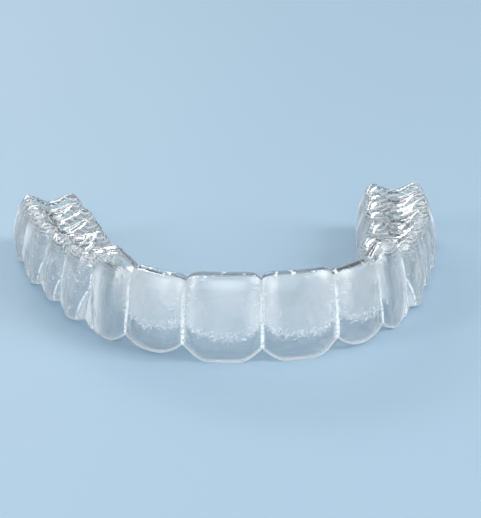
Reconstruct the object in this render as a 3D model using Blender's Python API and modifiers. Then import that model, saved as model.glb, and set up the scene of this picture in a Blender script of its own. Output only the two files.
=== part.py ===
"""A clear dental aligner for an upper arch: one thermoformed shell over fourteen teeth.

It lies biting side up, on the trimmed edge of its own wall. X runs across the mouth and -Y points
out past the front teeth. The origin is under the middle of the outline, on the surface. Every length
is in metres and belongs to the shell's outer face, unless its note says otherwise.
"""

import math
from collections import namedtuple

import bmesh
import bpy
import numpy as np

# The arch line runs through the middle of the teeth. Seen from above it is |x/a|^p + |y/b|^p = 1,
# and past its ends it goes straight back.
ARCH_HALF_WIDTH = 0.0268
ARCH_DEPTH = 0.0870
ARCH_POWER = 2.70

# The sheet, as thick as forming leaves it. The inner face is the outer one with every measure less
# by the wall, and a ridge, which its top draws in already, less by this share of it.
WALL = 0.0007
RIDGE_INSET = 0.55

# A crown's measures. Reach is from the arch line to the widest part of the wall, and cusp to the
# ridge of the biting face. Tops and pit are heights of those ridges and of the hollow, or the edge,
# between them. waist places the inner shoulder, from 0 at the ridge to 1 at the reach. rim is the
# lowest height of the trimmed edge. crease is how far the walls draw in where two crowns meet.
FIELDS = "width out_reach in_reach out_cusp in_cusp out_top pit in_top waist rim corner cusps crease"
Crown = namedtuple("Crown", FIELDS, defaults=[0.0])

# Half an arch, from the midline back. corner is how square the crown is, seen from above, and cusps
# is how many stand in each of its rows: none on an incisor's straight edge.
CROWNS = {
    "central_incisor": Crown(
        width=0.0088, out_reach=0.0031, in_reach=0.0046, out_cusp=0.0016, in_cusp=0.0007,
        out_top=0.0109, pit=0.0111, in_top=0.0103, waist=0.24, rim=0.0000, corner=5.0, cusps=0),
    "lateral_incisor": Crown(
        width=0.0077, out_reach=0.0029, in_reach=0.0043, out_cusp=0.0015, in_cusp=0.0007,
        out_top=0.0103, pit=0.0105, in_top=0.0098, waist=0.26, rim=0.0005, corner=4.4, cusps=0),
    "canine": Crown(
        width=0.0076, out_reach=0.0036, in_reach=0.0049, out_cusp=0.0016, in_cusp=0.0009,
        out_top=0.0108, pit=0.0111, in_top=0.0102, waist=0.42, rim=0.0000, corner=3.0, cusps=1),
    "first_premolar": Crown(
        width=0.0070, out_reach=0.0046, in_reach=0.0051, out_cusp=0.0027, in_cusp=0.0030,
        out_top=0.0098, pit=0.0078, in_top=0.0090, waist=0.72, rim=0.0005, corner=2.5, cusps=1),
    "second_premolar": Crown(
        width=0.0070, out_reach=0.0049, in_reach=0.0051, out_cusp=0.0029, in_cusp=0.0030,
        out_top=0.0093, pit=0.0076, in_top=0.0090, waist=0.72, rim=0.0006, corner=2.5, cusps=1),
    "first_molar": Crown(
        width=0.0103, out_reach=0.0057, in_reach=0.0059, out_cusp=0.0034, in_cusp=0.0035,
        out_top=0.0090, pit=0.0069, in_top=0.0088, waist=0.74, rim=0.0003, corner=2.9, cusps=2),
    "second_molar": Crown(
        width=0.0096, out_reach=0.0059, in_reach=0.0055, out_cusp=0.0035, in_cusp=0.0032,
        out_top=0.0084, pit=0.0065, in_top=0.0082, waist=0.74, rim=0.0000, corner=2.9, cusps=2),
}

# Between two crowns the shell draws in from the mean of the two. Its walls and its top do so by one
# depth between incisors, by another between cusped crowns, and its ridges by a third.
CREASE_FRONT = 0.0008
CREASE_BACK = 0.0019
CREASE_CUSP = 0.0004
NOTCH_FRONT = 0.0007
NOTCH_BACK = 0.0017

# A ridge falls from its middle to the contact by a power of the way across, slowly from a straight
# edge and at once from a single cusp. The cusps of a pair stand at PAIR_PLACE, a share of the
# crown's half, and fall from there.
EDGE_POWER = 8.0
CUSP_POWER = 1.9
PAIR_POWER = 1.8
PAIR_PLACE = 0.46

# Between the cusps of a pair lies a valley, and a groove runs down the outer wall under it.
VALLEY_DEPTH = 0.0008
VALLEY_POWER = 1.5
GROOVE_DEPTH = 0.0005
GROOVE_SHARE = 0.22

# The hollow of a cusped crown rises to a ridge near each contact, at this share of its half, and
# falls from the ridge into the notch.
RIDGE_RISE = 0.0007
RIDGE_PLACE = 0.75
HOLLOW_POWER = 4.0

# The trimmed edge is lowest under each crown and rises between crowns, more between incisors than
# between cusped crowns. Under the lowest crowns it is trimmed flat this far up its curve, which
# leaves the feet that the shell lies on.
RIM_RISE_FRONT = 0.0020
RIM_RISE_BACK = 0.0010
RIM_POWER = 2.4
FOOT_TRIM = 0.00025

# Near the trimmed edge, the point of gum between two crowns fills their crease with a flat triangle,
# this wide at the edge and with its point at this height. At the edge it fills GUM_SHARE of the crease.
GUM_TOP = 0.0056
GUM_WIDTH = 0.0032
GUM_SHARE = 0.75

# Behind the last crown, the shell closes in a round wall.
BACK_TOP = 0.0062
BACK_SHOULDER = 0.0055
BACK_RIM = 0.0012
BACK_ROUND = 2.5

# Heights of a section's widest place and of its shoulder, as shares of the way from rim to ridge,
# and where the outer shoulder lies, from 0 at the ridge to 1 at the reach.
BELLY = 0.36
SHOULDER = 0.75
SHOULDER_REACH = 0.70
RIM_TUCK = 0.0003

# How finely the surface is drawn: stations along a crown for each count of cusps, how far they crowd
# towards the contacts, from 0 to 1, and steps between two of a section's guide points.
STATIONS = {0: 6, 1: 6, 2: 10}
CROWDING = 0.35
GUIDE_STEPS = 3
ARCH_SAMPLES = 3000

SHEET_COLOUR = (0.86, 0.91, 0.94, 1.0)
SHEET_ROUGHNESS = 0.12
SHEET_IOR = 1.52
MERGE = 1e-6
MIRROR_MERGE = 1e-5


def arch_at(along):
    """Points of the arch line, and its outward normals, at distances from the midline."""
    turn = np.linspace(0.0, math.pi / 2, ARCH_SAMPLES)
    x = ARCH_HALF_WIDTH * np.sin(turn) ** (2 / ARCH_POWER)
    y = -ARCH_DEPTH * np.cos(turn) ** (2 / ARCH_POWER)
    x = np.append(x, ARCH_HALF_WIDTH)
    y = np.append(y, ARCH_DEPTH)
    run = np.concatenate([[0.0], np.cumsum(np.hypot(np.diff(x), np.diff(y)))])
    x, y = np.interp(along, run, x), np.interp(along, run, y)
    steep_x = (x / ARCH_HALF_WIDTH) ** (ARCH_POWER - 1) / ARCH_HALF_WIDTH
    steep_y = -(np.clip(-y, 0, None) / ARCH_DEPTH) ** (ARCH_POWER - 1) / ARCH_DEPTH
    steep = np.hypot(steep_x, steep_y)
    return np.stack([x, y], axis=1), np.stack([steep_x / steep, steep_y / steep], axis=1)


def contact(ahead, behind):
    """The measures where two crowns meet, drawn in from the mean of the two."""
    cusped = ((ahead.cusps > 0) + (behind.cusps > 0)) / 2
    crease = CREASE_FRONT + (CREASE_BACK - CREASE_FRONT) * cusped
    notch = NOTCH_FRONT + (NOTCH_BACK - NOTCH_FRONT) * cusped
    rim_rise = RIM_RISE_FRONT + (RIM_RISE_BACK - RIM_RISE_FRONT) * cusped
    mean = Crown(*((a + b) / 2 for a, b in zip(ahead, behind)))
    return mean._replace(
        crease=crease,
        out_reach=mean.out_reach - crease,
        in_reach=mean.in_reach - crease,
        out_cusp=mean.out_cusp - CREASE_CUSP,
        in_cusp=mean.in_cusp - CREASE_CUSP,
        out_top=mean.out_top - notch,
        in_top=mean.in_top - notch,
        pit=min(mean.pit + RIDGE_RISE, mean.out_top) - notch,
        rim=mean.rim + rim_rise,
    )


def back_end(crown, inset):
    """The measures at the very back, where the two walls meet on the arch line."""
    shoulder = BACK_SHOULDER - inset
    return crown._replace(
        out_reach=0, in_reach=0, out_cusp=0, in_cusp=0,
        out_top=shoulder, in_top=shoulder, pit=BACK_TOP - inset, rim=BACK_RIM)


def inset_crown(crown, inset):
    """A crown's measures on a face that lies this far inside the outer one."""
    return crown._replace(
        out_reach=crown.out_reach - inset,
        in_reach=crown.in_reach - inset,
        out_cusp=crown.out_cusp - RIDGE_INSET * inset,
        in_cusp=crown.in_cusp - RIDGE_INSET * inset,
        out_top=crown.out_top - inset,
        pit=crown.pit - inset,
        in_top=crown.in_top - inset,
    )


def top_share(across, cusps):
    """How far a ridge has dropped towards the contact: 0 on a cusp or an edge, 1 at the contact."""
    if cusps == 0:
        return np.abs(across) ** EDGE_POWER
    if cusps == 1:
        return np.abs(across) ** CUSP_POWER
    return np.clip((np.abs(across) - PAIR_PLACE) / (1 - PAIR_PLACE), 0, 1) ** PAIR_POWER


def crown_stations(crown, ahead, behind, last):
    """A crown's stations: places across it, -1 to 1, and its measures at each of them."""
    even = np.linspace(-1, 1, STATIONS[crown.cusps] + 1)
    crowding = np.where((even > 0) & last, 1.0, CROWDING)
    across = even + crowding * (np.sin(even * math.pi / 2) - even)
    reach_share = np.abs(across) ** crown.corner
    if last:
        round_share = 1 - (1 - np.clip(across, 0, 1) ** BACK_ROUND) ** (1 / BACK_ROUND)
        reach_share = np.where(across < 0, reach_share, round_share)
    tops = top_share(across, crown.cusps)
    shares = {
        "out_reach": reach_share, "in_reach": reach_share,
        "out_cusp": reach_share, "in_cusp": reach_share,
        "out_top": tops, "in_top": tops, "pit": tops,
        "waist": np.abs(across) ** HOLLOW_POWER, "rim": np.abs(across) ** RIM_POWER,
    }
    shape = {}
    for field, share in shares.items():
        edge = np.where(across < 0, getattr(ahead, field), getattr(behind, field))
        shape[field] = getattr(crown, field) + (edge - getattr(crown, field)) * share
    if crown.pit < crown.in_top:
        climb = np.clip(np.abs(across) / RIDGE_PLACE, 0, 1)
        hollow = crown.pit + RIDGE_RISE * climb ** 2 * (3 - 2 * climb)
        edge = np.where(across < 0, ahead.pit, behind.pit)
        shape["pit"] = hollow + (edge - hollow) * np.abs(across) ** HOLLOW_POWER
    if crown.cusps == 2:
        valley = np.clip(1 - np.abs(across) / PAIR_PLACE, 0, 1) ** VALLEY_POWER
        shape["out_top"] = shape["out_top"] - VALLEY_DEPTH * valley
        shape["in_top"] = shape["in_top"] - VALLEY_DEPTH * valley
        shape["out_reach"] = shape["out_reach"] - GROOVE_DEPTH * np.exp(-(across / GROOVE_SHARE) ** 2)
    shape["gum_fill"] = np.where(across < 0, ahead.crease, behind.crease) * GUM_SHARE
    shape["gum_away"] = (1 - np.abs(across)) * crown.width / 2
    return across, shape


def half_arch(inset):
    """Every station of half an arch: its distance from the midline and its measures."""
    crowns = [inset_crown(crown, inset) for crown in CROWNS.values()]
    meets = [contact(a, b) for a, b in zip([crowns[0]] + crowns, crowns)]
    meets.append(back_end(crowns[-1], inset))
    start, first_row, along, shapes = 0.0, 0, [], []
    for i, crown in enumerate(crowns):
        last = i + 1 == len(crowns)
        across, shape = crown_stations(crown, meets[i], meets[i + 1], last)
        last_row = first_row + len(across) - 1
        shape["nearest_contact"] = np.where(across < 0, first_row, last_row)
        first = 0 if i == 0 else 1
        place = start + (across + 1) * crown.width / 2
        along.append((place - last * inset * np.clip(across, 0, 1))[first:])
        shapes.append({field: column[first:] for field, column in shape.items()})
        start += crown.width
        first_row = last_row
    joined = {field: np.concatenate([s[field] for s in shapes])[:, None] for field in shapes[0]}
    return np.concatenate(along), joined


def section_guides(s):
    """Nine guide points for each station's section, from the outer rim over the top to the inner."""
    rim = np.maximum(s["rim"] - FOOT_TRIM, 0)
    out_shoulder = s["out_cusp"] + SHOULDER_REACH * (s["out_reach"] - s["out_cusp"])
    in_shoulder = s["in_cusp"] + s["waist"] * (s["in_reach"] - s["in_cusp"])
    out_foot = np.maximum(s["out_reach"] - RIM_TUCK, 0)
    in_foot = np.maximum(s["in_reach"] - RIM_TUCK, 0)
    out = [out_foot, s["out_reach"], out_shoulder, s["out_cusp"], (s["out_cusp"] - s["in_cusp"]) / 2,
           -s["in_cusp"], -in_shoulder, -s["in_reach"], -in_foot]
    up = [rim, rim + BELLY * (s["out_top"] - rim), rim + SHOULDER * (s["out_top"] - rim),
          s["out_top"], s["pit"], s["in_top"], rim + SHOULDER * (s["in_top"] - rim),
          rim + BELLY * (s["in_top"] - rim), rim]
    return np.concatenate(out, axis=1), np.concatenate(up, axis=1)


def smooth_weights(guides, steps):
    """Weights that carry a Catmull-Rom curve through the guide points, some steps to each span."""
    weights = []
    for span in range(guides - 1):
        for t in np.arange(steps + (span == guides - 2)) / steps:
            row = np.zeros(guides + 2)
            row[span:span + 4] = [
                (-t + 2 * t**2 - t**3) / 2,
                (2 - 5 * t**2 + 3 * t**3) / 2,
                (t + 4 * t**2 - 3 * t**3) / 2,
                (-t**2 + t**3) / 2,
            ]
            weights.append(row)
    weights = np.array(weights)
    # The curve runs straight past its first and last guide points.
    weights[:, 1] += 2 * weights[:, 0]
    weights[:, 2] -= weights[:, 0]
    weights[:, -2] += 2 * weights[:, -1]
    weights[:, -3] -= weights[:, -1]
    return weights[:, 1:-1]


def fill_gum(out, up, rim, s):
    """Fills the foot of each crease in the walls with the point of gum between the two crowns."""
    nearest = s["nearest_contact"][:, 0]
    left = np.clip((GUM_TOP - up) / (GUM_TOP - rim[nearest]), 0, 1)
    beside = np.clip(s["gum_away"] - left * GUM_WIDTH / 2, 0, None)
    proud = s["gum_fill"] * left - beside
    crease = out[nearest]
    filled = np.where(out > 0, np.maximum(out, crease + proud), np.minimum(out, crease - proud))
    step = np.arange(out.shape[1])
    wall = (step <= 2 * GUIDE_STEPS) | (step >= 6 * GUIDE_STEPS)
    return np.where(wall & (left > 0), filled, out)


def half_face(inset):
    """A face of half an arch, as a grid of points: stations by steps round the section."""
    along, s = half_arch(inset)
    out, up = section_guides(s)
    weights = smooth_weights(out.shape[1], GUIDE_STEPS)
    out, up = out @ weights.T, up @ weights.T
    out = fill_gum(out, up, up[:, :1], s)
    middle, normal = arch_at(along)
    x = middle[:, :1] + out * normal[:, :1]
    y = middle[:, 1:] + out * normal[:, 1:]
    return np.stack([x, y, up], axis=2)


def half_shell_mesh(name):
    """Half the shell, open at the midline: a ring of points at each station, lofted to the next."""
    grid = np.concatenate([half_face(0.0), half_face(WALL)[:, ::-1]], axis=1)
    grid[:, :, 1] -= (grid[:, :, 1].min() + grid[:, :, 1].max()) / 2
    rows, columns = grid.shape[:2]
    index = np.arange(rows * columns).reshape(rows, columns)
    index = np.concatenate([index, index[:, :1]], axis=1)
    quads = np.stack([index[:-1, :-1], index[1:, :-1], index[1:, 1:], index[:-1, 1:]], axis=2)
    mesh = bpy.data.meshes.new(name)
    mesh.from_pydata(grid.reshape(-1, 3).tolist(), [], quads.reshape(-1, 4).tolist())
    welded = bmesh.new()
    welded.from_mesh(mesh)
    bmesh.ops.remove_doubles(welded, verts=welded.verts, dist=MERGE)
    welded.to_mesh(mesh)
    welded.free()
    return mesh


def clear_sheet():
    """The clear plastic: colourless, glossy and see-through."""
    material = bpy.data.materials.new("clear_sheet")
    material.use_nodes = True
    shader = material.node_tree.nodes["Principled BSDF"]
    shader.inputs["Base Color"].default_value = SHEET_COLOUR
    shader.inputs["Roughness"].default_value = SHEET_ROUGHNESS
    shader.inputs["Metallic"].default_value = 0.0
    shader.inputs["IOR"].default_value = SHEET_IOR
    shader.inputs["Transmission Weight"].default_value = 1.0
    return material


def main():
    for obj in list(bpy.data.objects):
        bpy.data.objects.remove(obj)
    parts = bpy.data.collections.new("clear_aligner")
    bpy.context.scene.collection.children.link(parts)

    shell = bpy.data.objects.new("aligner_shell", half_shell_mesh("aligner_shell"))
    parts.objects.link(shell)
    shell.data.materials.append(clear_sheet())
    shell.data.shade_smooth()

    mirror = shell.modifiers.new("other half", "MIRROR")
    mirror.merge_threshold = MIRROR_MERGE


main()
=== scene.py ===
import math
from functools import reduce
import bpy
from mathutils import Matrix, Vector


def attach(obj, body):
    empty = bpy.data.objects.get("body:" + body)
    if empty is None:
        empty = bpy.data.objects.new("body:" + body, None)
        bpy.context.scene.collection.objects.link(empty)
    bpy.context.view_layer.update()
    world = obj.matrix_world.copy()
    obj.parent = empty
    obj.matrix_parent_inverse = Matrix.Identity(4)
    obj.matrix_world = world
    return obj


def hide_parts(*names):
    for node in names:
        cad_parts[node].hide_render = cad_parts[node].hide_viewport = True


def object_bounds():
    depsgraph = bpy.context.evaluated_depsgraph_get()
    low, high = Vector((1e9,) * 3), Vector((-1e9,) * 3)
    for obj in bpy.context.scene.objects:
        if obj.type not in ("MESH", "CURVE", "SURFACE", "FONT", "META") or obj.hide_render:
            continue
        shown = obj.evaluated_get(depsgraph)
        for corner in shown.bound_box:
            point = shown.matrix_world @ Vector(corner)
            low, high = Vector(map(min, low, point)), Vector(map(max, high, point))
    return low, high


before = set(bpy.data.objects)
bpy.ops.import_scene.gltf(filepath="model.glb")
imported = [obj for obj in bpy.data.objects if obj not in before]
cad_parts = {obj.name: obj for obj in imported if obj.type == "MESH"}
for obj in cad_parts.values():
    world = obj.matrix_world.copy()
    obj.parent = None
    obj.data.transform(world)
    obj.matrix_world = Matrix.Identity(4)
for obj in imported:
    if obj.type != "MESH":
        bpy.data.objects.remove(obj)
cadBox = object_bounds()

from types import SimpleNamespace

import bmesh
import bpy
import numpy as np
from mathutils import Vector

print("frame loaded:", sorted(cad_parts))

mm = 1000.0       # millimetres in a metre

# The line through the middle of the teeth, seen from above, in metres.
arch = dict(
    halfWidth=0.0268,
    depth=0.0870,
    power=2.70,           # 2 is an ellipse, more is squarer
    samples=6000,         # points that half of it is measured by
)

# One column for each crown of half the arch, from the midline back, in metres.
crowns = dict(
    width=[.0088, .0077, .0076, .0070, .0070, .0103, .0096],
    # arch line to the widest place outside, and inside
    outReach=[.0031, .0029, .0036, .0046, .0049, .0057, .0059],
    inReach=[.0046, .0043, .0049, .0051, .0051, .0059, .0055],
    # arch line to the outer ridge of the biting face, and to the inner one
    outCusp=[.0016, .0015, .0016, .0027, .0029, .0034, .0035],
    inCusp=[.0007, .0007, .0009, .0030, .0030, .0035, .0032],
    # heights of the outer ridge, of the hollow or edge, and of the inner ridge
    outTop=[.0109, .0103, .0108, .0098, .0093, .0090, .0084],
    pit=[.0111, .0105, .0111, .0078, .0076, .0069, .0065],
    inTop=[.0103, .0098, .0102, .0090, .0090, .0088, .0082],
    rim=[.0000, .0005, .0000, .0005, .0006, .0003, .0000],     # lowest height of the trimmed edge
    waist=[.24, .26, .42, .72, .72, .74, .74],                 # how full the inner shoulder is
    corner=[5.0, 4.4, 3.0, 2.5, 2.5, 2.9, 2.9],                # how square a crown is from above
    cusps=[0, 0, 1, 1, 1, 2, 2],                               # on each of its ridges
)

# Lengths in metres. Shares, places and powers have no unit.
sheet = dict(
    wall=0.0007,
    ridgeInset=0.55,                                           # share of the wall that ridges draw in by
    creaseFront=0.0008, creaseBack=0.0019, creaseCusp=0.0004,  # how far walls draw in between crowns
    notchFront=0.0007, notchBack=0.0017,                       # how far the tops drop there
    edgePower=8.0, cuspPower=1.9, pairPower=1.8, pairPlace=0.46,
    valleyDepth=0.0008, valleyPower=1.5, grooveDepth=0.0005, grooveShare=0.22,
    ridgeRise=0.0007, ridgePlace=0.75, hollowPower=4.0,
    rimRiseFront=0.0020, rimRiseBack=0.0010, rimPower=2.4, footTrim=0.00025,
    gumTop=0.0056, gumWidth=0.0032, gumShare=0.75,             # the points of gum between the crowns
    backTop=0.0062, backShoulder=0.0055, backRim=0.0012, backRound=2.5,
    belly=0.36, shoulder=0.75, shoulderReach=0.70, rimTuck=0.0003,
    crowding=0.35,                                             # of the stations towards the creases
    stations=40,                                               # along each crown
    guideSteps=9,                                              # between two guide points of a section
    outShoulder=2, outRidge=3, inShoulder=6, lastGuide=8,      # guide points, the outer foot being 0
    weld=0.000001,                                             # corners this close are one
)


# Points of the arch line |x/a|^p + |y/b|^p = 1, straight back past its end, and its normals, at
# distances along it from the midline.
def archAt(along):
    a, b, p = arch["halfWidth"], arch["depth"], arch["power"]
    turn = np.linspace(0.0, math.pi / 2, arch["samples"])
    x = np.append(a * np.sin(turn) ** (2 / p), a)
    y = np.append(-b * np.cos(turn) ** (2 / p), b)
    run = np.concatenate([[0.0], np.cumsum(np.hypot(np.diff(x), np.diff(y)))])
    x, y = np.interp(along, run, x), np.interp(along, run, y)
    steepX = (x / a) ** (p - 1) / a
    steepY = -(np.clip(-y, 0, None) / b) ** (p - 1) / b
    steep = np.hypot(steepX, steepY)
    return x, y, steepX / steep, steepY / steep


# The crowns' measures on a face this far inside the outer one, as one array for each measure.
def crownTable(inset):
    c = {name: np.array(row, float) for name, row in crowns.items()}
    for name in ("outReach", "inReach", "outTop", "pit", "inTop"):
        c[name] -= inset
    for name in ("outCusp", "inCusp"):
        c[name] -= sheet["ridgeInset"] * inset
    return c


# The measures at each crown's two ends: the mean of two neighbours, drawn in by the crease and
# dropped by the notch. The first crown meets its own mirror image, and the last one a round back.
def contactTable(c, inset):
    first = {name: np.append(row[0], row) for name, row in c.items()}
    mean = {name: (row[:-1] + row[1:]) / 2 for name, row in first.items()}
    hasCusps = (first["cusps"] > 0) * 1.0
    cusped = (hasCusps[:-1] + hasCusps[1:]) / 2

    def frontToBack(name):
        return sheet[name + "Front"] + (sheet[name + "Back"] - sheet[name + "Front"]) * cusped

    crease, notch = frontToBack("crease"), frontToBack("notch")
    meets = dict(
        mean,
        crease=crease,
        outReach=mean["outReach"] - crease,
        inReach=mean["inReach"] - crease,
        outCusp=mean["outCusp"] - sheet["creaseCusp"],
        inCusp=mean["inCusp"] - sheet["creaseCusp"],
        outTop=mean["outTop"] - notch,
        inTop=mean["inTop"] - notch,
        pit=np.minimum(mean["pit"] + sheet["ridgeRise"], mean["outTop"]) - notch,
        rim=mean["rim"] + frontToBack("rimRise"),
    )
    back = dict(
        {name: row[-1] for name, row in c.items()},
        crease=0.0, outReach=0.0, inReach=0.0, outCusp=0.0, inCusp=0.0,
        outTop=sheet["backShoulder"] - inset, inTop=sheet["backShoulder"] - inset,
        pit=sheet["backTop"] - inset, rim=sheet["backRim"],
    )
    return {name: np.append(row, back[name]) for name, row in meets.items()}


# Measures at every station of half an arch. A measure goes from the crown's own to its end's by a
# power of the way across, u, which runs from -1 to 1 over each crown.
def halfArch(inset):
    c = crownTable(inset)
    meets = contactTable(c, inset)
    col = {name: row[:, None] for name, row in c.items()}
    number = np.arange(len(c["width"]))[:, None]
    last = number == len(c["width"]) - 1
    even = np.linspace(-1, 1, sheet["stations"] + 1)[None, :]
    crowding = np.where((even > 0) & last, 1.0, sheet["crowding"])
    u = even + crowding * (np.sin(even * math.pi / 2) - even)
    far = np.abs(u)
    ahead, behind = u < 0, u >= 0

    def endOf(name):
        return np.where(ahead, meets[name][:-1, None], meets[name][1:, None])

    reachShare = far ** col["corner"]
    roundShare = 1 - (1 - np.clip(u, 0, 1) ** sheet["backRound"]) ** (1 / sheet["backRound"])
    reachShare = np.where(last & behind, roundShare, reachShare)
    pairFar = np.clip((far - sheet["pairPlace"]) / (1 - sheet["pairPlace"]), 0, 1)
    cuspShare = np.where(col["cusps"] == 1, far ** sheet["cuspPower"], pairFar ** sheet["pairPower"])
    topShare = np.where(col["cusps"] == 0, far ** sheet["edgePower"], cuspShare)
    hollowShare = far ** sheet["hollowPower"]
    shares = dict(outReach=reachShare, inReach=reachShare, outCusp=reachShare, inCusp=reachShare,
                  outTop=topShare, inTop=topShare, pit=topShare, waist=hollowShare,
                  rim=far ** sheet["rimPower"])
    s = {name: col[name] + (endOf(name) - col[name]) * share for name, share in shares.items()}

    # Cusped crowns: a hollow that rises to a ridge near each contact, and between two cusps a
    # valley, with a groove in the outer wall under it.
    climb = np.clip(far / sheet["ridgePlace"], 0, 1)
    hollow = col["pit"] + sheet["ridgeRise"] * climb ** 2 * (3 - 2 * climb)
    hollow = hollow + (endOf("pit") - hollow) * hollowShare
    s["pit"] = np.where(col["pit"] < col["inTop"], hollow, s["pit"])
    paired = col["cusps"] == 2
    valley = np.clip(1 - far / sheet["pairPlace"], 0, 1) ** sheet["valleyPower"]
    valley = paired * sheet["valleyDepth"] * valley
    s["outTop"] = s["outTop"] - valley
    s["inTop"] = s["inTop"] - valley
    groove = paired * sheet["grooveDepth"] * np.exp(-(u / sheet["grooveShare"]) ** 2)
    s["outReach"] = s["outReach"] - groove

    start = np.concatenate([[0.0], np.cumsum(c["width"])[:-1]])[:, None]
    s["along"] = start + (u + 1) * col["width"] / 2 - last * inset * np.clip(u, 0, 1)
    s["crownPlace"] = number + (u + 1) / 2
    s["gumFill"] = endOf("crease") * sheet["gumShare"]
    s["gumAway"] = (1 - far) * col["width"] / 2
    contact = number * sheet["stations"]
    s["nearest"] = np.where(ahead, contact, contact + sheet["stations"])     # the nearest contact's station
    # A crown's first station is the last one of the crown before it.
    return {name: np.append(table[0, :1], table[:, 1:].reshape(-1))[:, None] for name, table in s.items()}


# Weights that carry a smooth curve through guide points, some steps to each span, and straight on
# past both ends: a cubic on each span, whose slope at a guide point is half the way from the one
# before it to the one after.
def smoothWeights(guides, steps):
    at = np.linspace(0, guides - 1, (guides - 1) * steps + 1)
    span = np.minimum(at.astype(int), guides - 2)
    t = at - span
    parts = [(-t + 2 * t**2 - t**3) / 2, (2 - 5 * t**2 + 3 * t**3) / 2,
             (t + 4 * t**2 - 3 * t**3) / 2, (-t**2 + t**3) / 2]
    weights = np.zeros((len(at), guides + 2))
    for k, part in enumerate(parts):
        weights[np.arange(len(at)), span + k] = part
    weights[:, 1] += 2 * weights[:, 0]
    weights[:, 2] -= weights[:, 0]
    weights[:, -2] += 2 * weights[:, -1]
    weights[:, -3] -= weights[:, -1]
    return weights[:, 1:-1]


# Nine guide points of each station's section, outer rim to inner rim over the top, and the smooth
# curve through them: distance out from the arch line, and height.
def sections(s):
    rim = np.maximum(s["rim"] - sheet["footTrim"], 0)
    outShoulder = s["outCusp"] + sheet["shoulderReach"] * (s["outReach"] - s["outCusp"])
    inShoulder = s["inCusp"] + s["waist"] * (s["inReach"] - s["inCusp"])
    outFoot = np.maximum(s["outReach"] - sheet["rimTuck"], 0)
    inFoot = np.maximum(s["inReach"] - sheet["rimTuck"], 0)
    out = [outFoot, s["outReach"], outShoulder, s["outCusp"], (s["outCusp"] - s["inCusp"]) / 2,
           -s["inCusp"], -inShoulder, -s["inReach"], -inFoot]
    up = [rim, rim + sheet["belly"] * (s["outTop"] - rim), rim + sheet["shoulder"] * (s["outTop"] - rim),
          s["outTop"], s["pit"], s["inTop"], rim + sheet["shoulder"] * (s["inTop"] - rim),
          rim + sheet["belly"] * (s["inTop"] - rim), rim]
    weights = smoothWeights(len(out), sheet["guideSteps"])
    return np.concatenate(out, axis=1) @ weights.T, np.concatenate(up, axis=1) @ weights.T


# The foot of each crease, filled by a flat triangle that stands on the trimmed edge and narrows to
# its point: the wall is the further out of itself and the triangle. Also the distances from the
# triangle's legs, less than nothing inside it, and from its point.
def fillGum(out, up, s):
    nearest = s["nearest"][:, 0].astype(int)
    left = np.clip((sheet["gumTop"] - up) / (sheet["gumTop"] - up[nearest, :1]), 0, 1)
    leg = s["gumAway"] - left * sheet["gumWidth"] / 2
    proud = s["gumFill"] * left - np.clip(leg, 0, None)
    crease = out[nearest]
    filled = np.where(out > 0, np.maximum(out, crease + proud), np.minimum(out, crease - proud))
    step = np.arange(out.shape[1]) / sheet["guideSteps"]
    wall = (step <= sheet["outShoulder"]) | (step >= sheet["inShoulder"])
    point = np.hypot(s["gumAway"], up - sheet["gumTop"])
    legs = dict(fromLeg=np.where(left > 0, leg, point), fromPoint=point)
    return np.where(wall & (left > 0), filled, out), legs


# Half of one face of the sheet: the arch line's points, moved out along its normals by the sections'
# distances and up by their heights.
def halfFace(inset):
    s = halfArch(inset)
    out, up = sections(s)
    out, legs = fillGum(out, up, s)
    x, y, normalX, normalY = archAt(s["along"][:, 0])
    x, y = x[:, None] + out * normalX[:, None], y[:, None] + out * normalY[:, None]
    return np.stack([x, y, up], axis=2), dict(s, **legs)


# Half of each face is mirrored, the two faces are joined along both trimmed edges, and the ends close
# where the walls meet. Each corner keeps what the finish is worked out from: its distances along the
# arch, from the nearest contact, above the trimmed edge and from the gum triangle's legs and point,
# in millimetres, the guide points that its section has passed, and the crowns from the midline.
def alignerMesh():
    outer, s = halfFace(0.0)
    inner, within = halfFace(sheet["wall"])
    half = np.concatenate([outer, inner[:, ::-1]], axis=1)
    half[:, :, 1] -= (half[:, :, 1].min() + half[:, :, 1].max()) / 2
    mirrored = half[:0:-1] * np.array([-1.0, 1.0, 1.0])
    grid = np.concatenate([mirrored, half], axis=0)
    rows, columns = grid.shape[:2]

    index = np.arange(rows * columns).reshape(rows, columns)
    index = np.concatenate([index, index[:, :1]], axis=1)
    quads = np.stack([index[:-1, :-1], index[1:, :-1], index[1:, 1:], index[:-1, 1:]], axis=2)
    mesh = bpy.data.meshes.new("clearShell")
    mesh.from_pydata(grid.reshape(-1, 3).tolist(), [], quads.reshape(-1, 4).tolist())

    def bothHalves(table):
        return np.concatenate([table[:0:-1], table], axis=0)

    def bothFaces(name):
        return np.concatenate([s[name], within[name][:, ::-1]], axis=1)

    step = np.linspace(0, sheet["lastGuide"], columns // 2)
    height = grid[:, :, 2] * mm
    facts = dict(
        alongArch=np.concatenate([-s["along"][:0:-1], s["along"]]) * mm,
        fromContact=bothHalves(s["gumAway"]) * mm,
        fromTrim=height - height[:, :1],
        fromLeg=bothHalves(bothFaces("fromLeg")) * mm,
        fromPoint=bothHalves(bothFaces("fromPoint")) * mm,
        sectionStep=np.concatenate([step, step[::-1]])[None, :],
        crownPlace=bothHalves(s["crownPlace"]),
    )
    for name, table in facts.items():
        values = np.broadcast_to(table, (rows, columns)).astype(np.float32)
        mesh.attributes.new(name, "FLOAT", "POINT").data.foreach_set("value", values.ravel())
    welded = bmesh.new()
    welded.from_mesh(mesh)
    bmesh.ops.remove_doubles(welded, verts=welded.verts, dist=sheet["weld"])
    welded.to_mesh(mesh)
    welded.free()
    mesh.shade_smooth()
    return mesh


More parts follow.
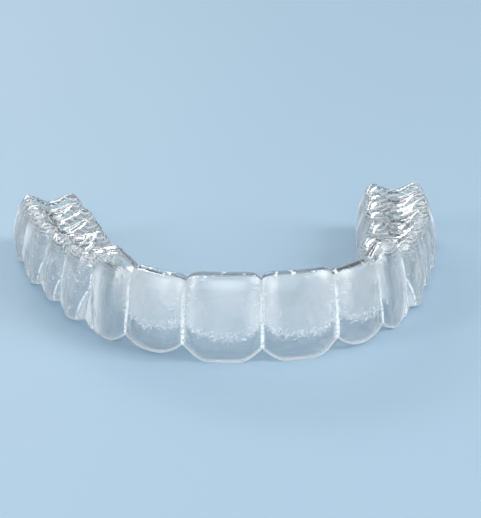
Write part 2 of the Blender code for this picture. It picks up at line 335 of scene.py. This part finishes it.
# A socket whose operators add Math nodes, and one method for any other node.
class Wire:
    def __init__(self, tree, socket=None):
        self.tree = tree
        self.socket = socket

    def node(self, kind, settings, sockets, out=0):
        made = self.tree.nodes.new(kind)
        for name, value in settings.items():
            setattr(made, name, value)
        for name, value in sockets.items():
            if isinstance(value, Wire):
                self.tree.links.new(value.socket, made.inputs[name])
            else:
                made.inputs[name].default_value = value
        return Wire(self.tree, made.outputs[out])

    def maths(self, operation, first, second=0.0):
        return self.node("ShaderNodeMath", dict(operation=operation), {0: first, 1: second})

    def __add__(self, other):
        return self.maths("ADD", self, other)

    def __radd__(self, other):
        return self.maths("ADD", other, self)

    def __sub__(self, other):
        return self.maths("SUBTRACT", self, other)

    def __rsub__(self, other):
        return self.maths("SUBTRACT", other, self)

    def __mul__(self, other):
        return self.maths("MULTIPLY", self, other)

    def __rmul__(self, other):
        return self.maths("MULTIPLY", other, self)

    def sine(self):
        return self.maths("SINE", self)

    def fraction(self):
        return self.maths("FRACT", self)

    def highest(self, other):
        return self.maths("MAXIMUM", self, other)

    def between(self, low, high):      # 0 at low, 1 at high, smooth
        return self.node("ShaderNodeMapRange", dict(interpolation_type="SMOOTHSTEP"),
                         {"Value": self, "From Min": low, "From Max": high})


finish = dict(
    colour=(0.96, 0.985, 0.99, 1.0), ior=1.52, roughness=0.01,
    hazeColour=(0.93, 0.96, 0.98, 1.0), hazeRoughness=0.30,
    wallAlpha=0.60, topAlpha=1.0,
    # roughness that marks add
    frostRoughness=0.22, creaseRoughness=0.20, milkRoughness=0.10, cloudRoughness=0.03,
    # relief, in millimetres: wander is how far noise shifts the lines
    layerPitch=0.28, layerDepth=0.007, layerWander=0.5,
    terracePitch=0.42, terraceDepth=0.002, terraceWander=0.4,
    terraceTilt=0.06,                                      # mm for each mm along the arch
    hatchPitch=0.66, hatchDepth=0.009, hatchWander=1.6,
    hatchSlant=0.9,                                        # mm for each guide point
    hatchWidth=0.34,                                       # guide points to either side of the ridge
    hatchFront=0.25,                                       # share of it on the front teeth
    rippleDepth=0.002, grainDepth=0.001, knobHeight=0.12,
    # white marks
    legWidth=0.17, legWidthBehind=0.46,                    # mm, on a crown's front half and rear half
    borderClouds=2.0, borderStreaks=5.0,                   # mm, how ragged the frost's border is
    frostDensity=1.25, frostLoss=0.55,                     # at the creases, and how much less elsewhere
    patchLeast=0.7, patchMore=0.6,                         # of the frost, and more in its patches
    # Milky haze on the walls; the extra on each crown's rear half is a painted sheen for that brighter
    # side.
    milkLeast=0.15, sheenBehind=0.85, milkLoss=0.7,         # in front, more behind, less on the palate slope
    veil=0.02,                                             # haze everywhere
)

# How white each kind of mark is. The sparkles on the cutting edges, the dots at the gum points, the lines
# on the terraces and the strokes on the outer ridge are painted highlights, and the milky haze's extra on
# the crowns' rear halves is painted sheen.
whiteness = dict(
    crease=0.95, trim=0.72, frost=0.26, scratches=0.50, flecks=0.60, legs=0.80, gum=0.42,
    milkAndSheen=0.74, specks=0.60, ringGlints=0.48, strokeGlints=0.66, edgeGlints=0.95, knobHighlights=0.85,
)

# Where things begin and end: a place is 0 at the first number and 1 at the second.
fades = dict(
    # guide points passed, from the outer trimmed edge
    topStart=(1.9, 2.8), topEnd=(5.2, 6.1), facePast=(2.9, 3.1), palateSlope=(4.0, 5.0),
    edgeStart=(2.75, 3.0), edgeEnd=(3.5, 3.9),
    # crowns from the midline, and of one crown
    incisorsPast=(2.0, 2.2), cusped=(2.0, 2.6), caninePast=(2.9, 3.1), rearHalf=(0.38, 0.66),
    # millimetres from the crease, above the floor and above the trimmed edge
    creasePast=(0.099, 0.33), frostThins=(0.4, 3.0), scratchesEnd=(0.7, 2.4),
    creaseFoot=(5.2, 5.9), trimPast=(0.0, 0.50), frostStart=(6.4, 7.0), flecksEnd=(7.0, 8.2),
    # millimetres from the gum triangle's legs and point
    gumPast=(-0.12, 0.0), knobPast=(0.08, 0.42),
    # noises, which run from 0 to 1
    lineGrain=(0.25, 0.55), fleckGrain=(0.45, 0.60), speckGrain=(0.54, 0.64), glintStrokeGrain=(0.30, 0.55),
    speckClouds=(0.45, 0.65), glintRingClouds=(0.35, 0.50), glintClouds=(0.57, 0.63),
    frostPatches=(0.35, 0.65), scratchStreaks=(0.52, 0.60), gumFall=(0.40, 0.60), milkFall=(0.27, 0.55),
    # waves, which run from -1 to 1
    glintRingCrests=(0.60, 0.98), glintStrokeCrests=(0.25, 0.85),
)

# Scale per metre, detail, roughness, and how much finer each noise is along x, y and z.
noises = dict(
    cloud=(700.0, 4.0, 0.50, (1.0, 1.0, 1.0)),
    slow=(260.0, 2.0, 0.50, (1.0, 1.0, 1.0)),
    fine=(2600.0, 3.0, 0.50, (1.0, 1.0, 1.0)),
    streak=(1100.0, 5.0, 0.65, (1.0, 1.0, 3.0)),
    fall=(900.0, 3.0, 0.50, (1.0, 1.0, 0.22)),
)

# What alignerMesh keeps at each corner.
meshFacts = ("alongArch", "fromContact", "fromTrim", "fromLeg", "fromPoint", "sectionStep", "crownPlace")


# How far through one of its ranges a value is, from 0 to 1.
def fade(wire, name):
    return wire.between(*fades[name])


# What the finish is worked out from at a place of the sheet: the mesh's facts, the noises, and how
# far it is on top, on the outer ridge, on a cusped crown, in a crown's rear half, at the point of a gum
# triangle and on the front teeth's frost. The waves are sines: layers by height, terraces by height
# and a little by the way along the arch, hatching by the way along it and over the section, each
# shifted by a noise.
def sheetPlaces(start):
    at = SimpleNamespace()
    for name in meshFacts:
        setattr(at, name, start.node("ShaderNodeAttribute", dict(attribute_name=name), {}, "Fac"))
    place = start.node("ShaderNodeTexCoord", {}, {}, "Object")
    for name, (scale, detail, roughness, finer) in noises.items():
        vector = start.node("ShaderNodeVectorMath", dict(operation="MULTIPLY"), {0: place, 1: finer})
        sockets = {"Vector": vector, "Scale": scale, "Detail": detail, "Roughness": roughness}
        setattr(at, name, start.node("ShaderNodeTexNoise", {}, sockets))
    at.height = start.node("ShaderNodeSeparateXYZ", {}, {0: place}, "Z") * mm

    at.top = fade(at.sectionStep, "topStart") * (1.0 - fade(at.sectionStep, "topEnd"))
    offRidge = at.sectionStep - sheet["outRidge"]
    at.ridge = 1.0 - (offRidge * offRidge).between(0.0, finish["hatchWidth"] ** 2)
    at.cusped = fade(at.crownPlace, "cusped")
    at.wall = at.cusped * (1.0 - at.top)
    at.behind = fade(at.crownPlace.fraction(), "rearHalf")
    at.knob = 1.0 - fade(at.fromPoint, "knobPast")
    face = (1.0 - fade(at.crownPlace, "incisorsPast")) * (1.0 - fade(at.sectionStep, "facePast"))
    at.border = at.fromTrim + at.cloud * finish["borderClouds"] + at.streak * finish["borderStreaks"]
    at.frost = face * fade(at.border, "frostStart")

    layerRun = at.height + at.slow * finish["layerWander"]
    terraceRun = at.height + at.alongArch * finish["terraceTilt"] + at.slow * finish["terraceWander"]
    hatchRun = at.alongArch + at.sectionStep * finish["hatchSlant"] + at.cloud * finish["hatchWander"]
    at.layers = (layerRun * (2 * math.pi / finish["layerPitch"])).sine()
    at.terraces = (terraceRun * (2 * math.pi / finish["terracePitch"])).sine()
    at.hatch = (hatchRun * (2 * math.pi / finish["hatchPitch"])).sine()
    return at


# Height in millimetres: layer lines round the walls, terraces on the tops, short strokes across the
# outer ridge, a knob at each gum triangle's point, and ripples and grain all over.
def sheetRelief(at):
    return (at.layers * finish["layerDepth"] * (1.0 - at.top)
            + at.terraces * finish["terraceDepth"] * at.top * at.cusped
            + at.hatch * finish["hatchDepth"] * at.ridge * (at.cusped + finish["hatchFront"])
            + at.knob * finish["knobHeight"] * at.cusped
            + at.cloud * finish["rippleDepth"] + at.fine * finish["grainDepth"])


# The white marks, about 0 to 1. All over, the creases and the trimmed edge. On the front teeth, the
# frost with flecks along its ragged border, thicker and scratched near the creases, and painted glints on
# the cutting edges. On the cusped crowns, walls with milky haze and a painted sheen on their rear halves,
# specks, gum triangles with white legs and a painted highlight at each point, and tops with painted glints:
# rings along the terraces and strokes along the hatching.
def whiteMarks(at):
    step = at.sectionStep
    crease = (1.0 - fade(at.fromContact, "creasePast")) * (1.0 - at.top) * fade(at.fine, "lineGrain")
    crease = crease * (1.0 - at.cusped * (1.0 - fade(at.height, "creaseFoot")))
    density = finish["frostDensity"] - fade(at.fromContact, "frostThins") * finish["frostLoss"]
    patches = fade(at.slow, "frostPatches") * finish["patchMore"] + finish["patchLeast"]
    scratched = 1.0 - fade(at.fromContact, "scratchesEnd")
    edge = (1.0 - at.cusped) * fade(step, "edgeStart") * (1.0 - fade(step, "edgeEnd"))
    slope = fade(step, "palateSlope") * (1.0 - fade(at.crownPlace, "caninePast"))
    # Milky haze on the walls, with a painted sheen on each crown's rear half that makes that side brighter.
    milkAndSheen = at.wall * (at.behind * finish["sheenBehind"] + finish["milkLeast"])
    milkAndSheen = milkAndSheen * fade(at.fall, "milkFall") * (1.0 - slope * finish["milkLoss"])
    legWidth = at.behind * (finish["legWidthBehind"] - finish["legWidth"]) + finish["legWidth"]
    legs = (1.0 - (at.fromLeg * at.fromLeg).between(0.0, legWidth * legWidth)) * at.wall
    return dict(
        crease=crease,
        trim=1.0 - fade(at.fromTrim, "trimPast"),
        frost=at.frost * (density * patches),
        scratches=at.frost * scratched * fade(at.streak, "scratchStreaks"),
        flecks=at.frost * (1.0 - fade(at.border, "flecksEnd")) * fade(at.fine, "fleckGrain"),
        legs=legs * fade(at.fine, "lineGrain"),
        gum=at.wall * (1.0 - fade(at.fromLeg, "gumPast")) * fade(at.fall, "gumFall"),
        milkAndSheen=milkAndSheen,
        specks=at.wall * fade(at.cloud, "speckClouds") * fade(at.fine, "speckGrain"),
        # Painted glints: white lines along the terraces' crests on the tops.
        ringGlints=fade(at.terraces, "glintRingCrests") * at.top * at.cusped * fade(at.cloud, "glintRingClouds"),
        # Painted glints: short white strokes along the hatching on the outer ridge.
        strokeGlints=fade(at.hatch, "glintStrokeCrests") * at.ridge * at.cusped * fade(at.fine, "glintStrokeGrain"),
        # Painted glints: white sparkles on the front teeth's cutting edges.
        edgeGlints=edge * fade(at.cloud, "glintClouds"),
        # Painted highlight: a white dot at each gum triangle's point.
        knobHighlights=at.knob * at.wall,
    )


# Clear sheet: glass, with part of the light going straight through the walls, under a white haze: the
# whitest of the marks at each place, painted highlights and sheen among them, and a veil.
def clearSheet():
    material = bpy.data.materials.new("clearSheet")
    material.use_nodes = True
    tree = material.node_tree
    tree.nodes.clear()
    start = Wire(tree)
    at = sheetPlaces(start)
    marks = whiteMarks(at)
    haze = reduce(Wire.highest, [mark * whiteness[name] for name, mark in marks.items()]) + finish["veil"]
    alpha = at.top * (finish["topAlpha"] - finish["wallAlpha"]) + finish["wallAlpha"]
    roughness = (at.frost * finish["frostRoughness"] + marks["crease"] * finish["creaseRoughness"]
                 + marks["milkAndSheen"] * finish["milkRoughness"] + at.cloud * finish["cloudRoughness"]
                 + finish["roughness"])
    relief = sheetRelief(at)
    normal = start.node("ShaderNodeBump", {}, {"Strength": 1.0, "Distance": 1 / mm, "Height": relief})

    clear = start.node("ShaderNodeBsdfPrincipled", {}, {
        "Base Color": finish["colour"], "Roughness": roughness, "IOR": finish["ior"],
        "Transmission Weight": 1.0, "Alpha": alpha, "Normal": normal})
    white = start.node("ShaderNodeBsdfPrincipled", {}, {
        "Base Color": finish["hazeColour"], "Roughness": finish["hazeRoughness"], "IOR": finish["ior"],
        "Normal": normal})
    surface = start.node("ShaderNodeMixShader", {}, {0: haze, 1: clear, 2: white})
    output = tree.nodes.new("ShaderNodeOutputMaterial")
    tree.links.new(surface.socket, output.inputs["Surface"])
    return material


piece = bpy.data.objects.new("clearShell", alignerMesh())
bpy.context.scene.collection.objects.link(piece)
piece.data.materials.append(clearSheet())
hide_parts("aligner_shell")
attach(piece, "root")
print("shell:", len(piece.data.polygons), "faces")

stage = dict(
    floorColour=(0.39, 0.55, 0.69, 1.0), floorRoughness=0.6,
    floorSize=3.0, floorGap=0.00002,                       # metres, along a side and under the shell
    worldColour=(0.80, 0.86, 0.92, 1.0), worldStrength=0.48,
    lampColour=(1.0, 0.99, 0.97),
)

# Soft boxes: centre, width and height in metres, and power in watts.
lamps = dict(
    overhead=((0.06, 0.15, 0.75), (0.39, 0.36), 0.36),
    backWindow=((-0.21, 0.66, 0.36), (0.45, 0.18), 1.40),
    leftWindow=((-0.69, -0.33, 0.27), (0.24, 0.39), 2.02),
    rightWindow=((0.57, -0.24, 0.45), (0.33, 0.51), 3.50),
    front=((-0.15, -0.93, 0.42), (0.45, 0.30), 2.90),
)

photoView = dict(
    azimuth=-6.4, elevation=19.3,                          # degrees, from straight in front
    distance=0.231, aim=(0.0, 0.0, 0.0050), clipStart=0.01,        # metres
    focal=128.0, sensor=36.0,                              # mm
)


def plainFloor():
    half = stage["floorSize"] / 2
    corners = [(-half, -half, 0), (half, -half, 0), (half, half, 0), (-half, half, 0)]
    mesh = bpy.data.meshes.new("floor")
    mesh.from_pydata(corners, [], [(0, 1, 2, 3)])
    floor = bpy.data.objects.new("floor", mesh)
    bpy.context.scene.collection.objects.link(floor)
    floor.location.z = cadBox[0][2] - stage["floorGap"]
    material = bpy.data.materials.new("paleFloor")
    material.use_nodes = True
    shader = material.node_tree.nodes["Principled BSDF"]
    shader.inputs["Base Color"].default_value = stage["floorColour"]
    shader.inputs["Roughness"].default_value = stage["floorRoughness"]
    floor.data.materials.append(material)


# A soft box that faces the aligner.
def softBox(name, centre, size, power):
    lamp = bpy.data.lights.new(name, "AREA")
    lamp.shape = "RECTANGLE"
    lamp.size, lamp.size_y = size
    lamp.energy = power
    lamp.color = stage["lampColour"]
    box = bpy.data.objects.new(name, lamp)
    bpy.context.scene.collection.objects.link(box)
    box.location = centre
    box.rotation_euler = (-box.location).to_track_quat("-Z", "Y").to_euler()


def studioLight():
    world = bpy.data.worlds.new("studio")
    world.use_nodes = True
    background = world.node_tree.nodes["Background"]
    background.inputs["Color"].default_value = stage["worldColour"]
    background.inputs["Strength"].default_value = stage["worldStrength"]
    bpy.context.scene.world = world
    for name, (centre, size, power) in lamps.items():
        softBox(name, centre, size, power)


def photoCamera():
    lens = bpy.data.cameras.new("camera")
    lens.sensor_fit = "HORIZONTAL"
    lens.sensor_width = photoView["sensor"]
    lens.lens = photoView["focal"]
    lens.clip_start = photoView["clipStart"]
    camera = bpy.data.objects.new("camera", lens)
    bpy.context.scene.collection.objects.link(camera)
    turn, rise = math.radians(photoView["azimuth"]), math.radians(photoView["elevation"])
    away = np.array([math.sin(turn) * math.cos(rise), -math.cos(turn) * math.cos(rise), math.sin(rise)])
    camera.location = np.array(photoView["aim"]) + away * photoView["distance"]
    camera.rotation_euler = Vector(-away).to_track_quat("-Z", "Y").to_euler()
    bpy.context.scene.camera = camera


plainFloor()
studioLight()
photoCamera()
bpy.context.scene.view_settings.view_transform = "Standard"
print("stage ready")
